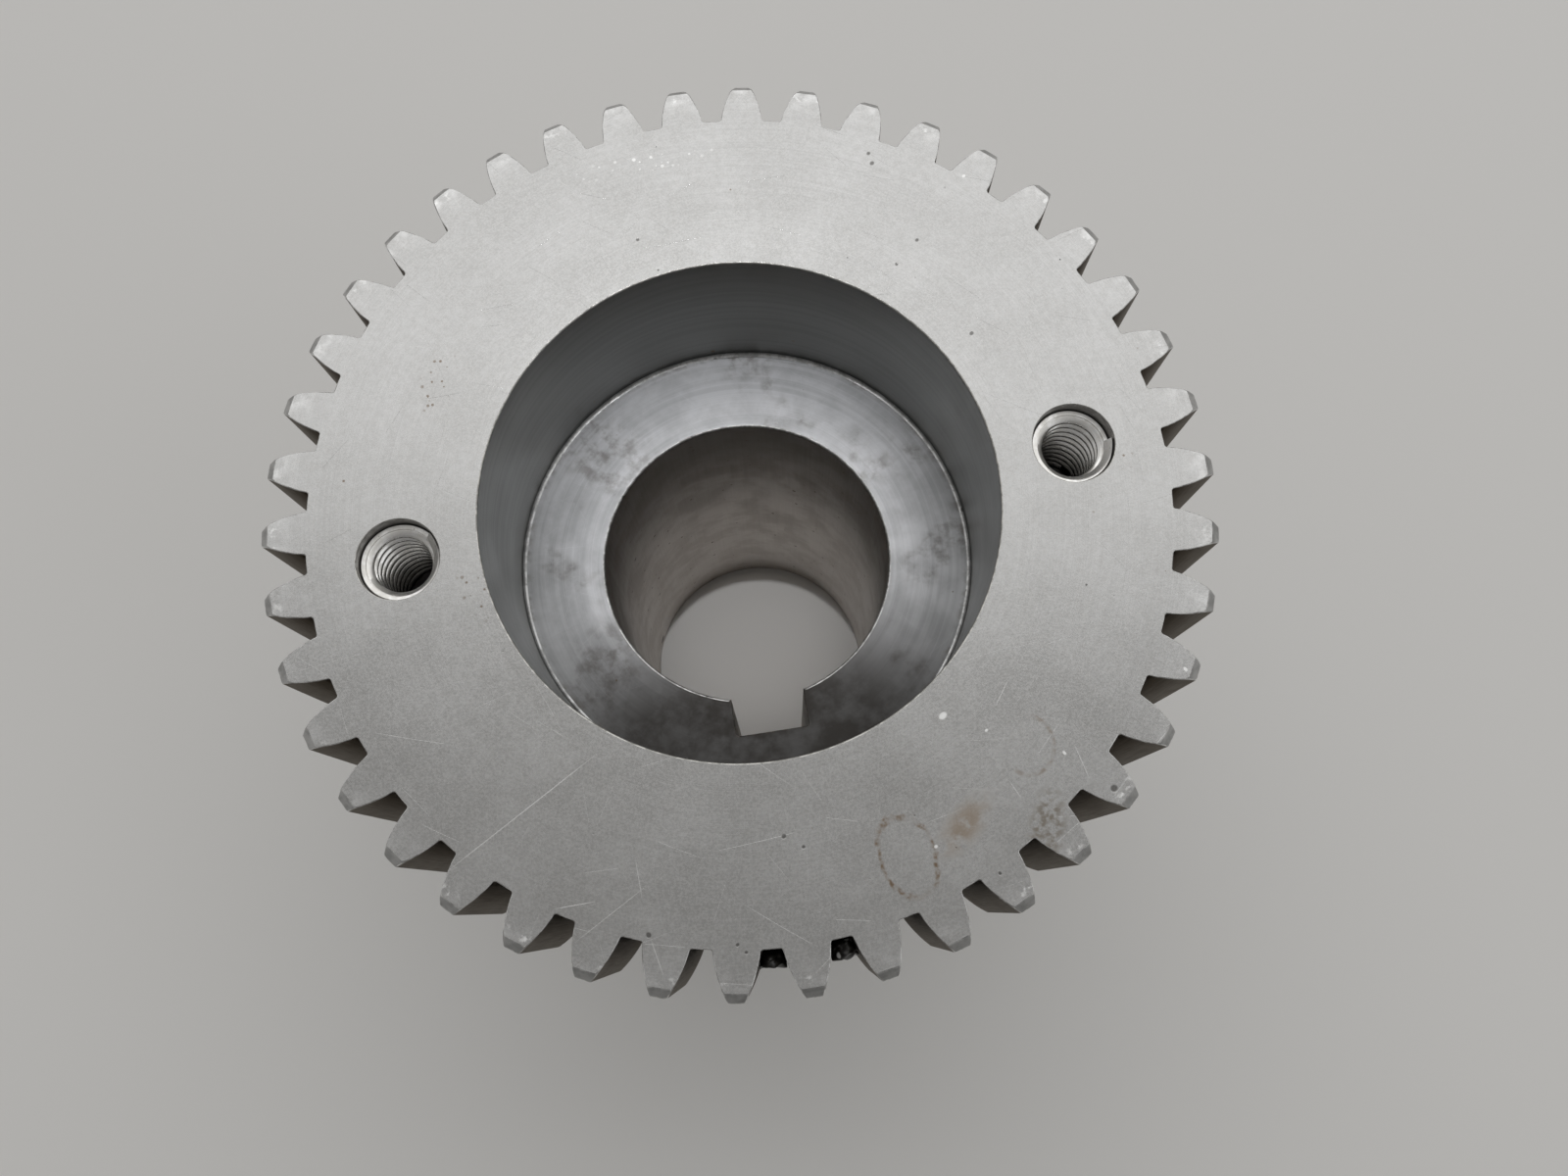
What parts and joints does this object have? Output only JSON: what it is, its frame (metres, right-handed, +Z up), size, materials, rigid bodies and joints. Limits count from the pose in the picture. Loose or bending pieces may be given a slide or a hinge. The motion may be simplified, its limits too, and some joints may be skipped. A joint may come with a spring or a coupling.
{
  "type": "spur gear",
  "caption": "Steel spur gear with a deep recess, on a long pressed-in hub sleeve with a keyed shaft bore and two threaded puller holes.",
  "frame": {"origin": "centre of the hub sleeve's lower end face, which is what the part stands on", "axes": "+Z up along the gear's axis towards the toothed end; the keyway faces -Y; the two puller holes lie near the X axis"},
  "size_m": [0.1098, 0.11, 0.1],
  "materials": {
    "gear_steel": "matt ground and turned steel with fine scratches",
    "sleeve_steel": "turned steel, slightly darker and bluer",
    "insert_steel": "bright machined thread"
  },
  "bodies": {
    "root": {"gear_ring": "gear_steel", "hub_sleeve": "sleeve_steel", "thread_insert_1": "insert_steel", "thread_insert_2": "insert_steel"}
  },
  "joints": []
}
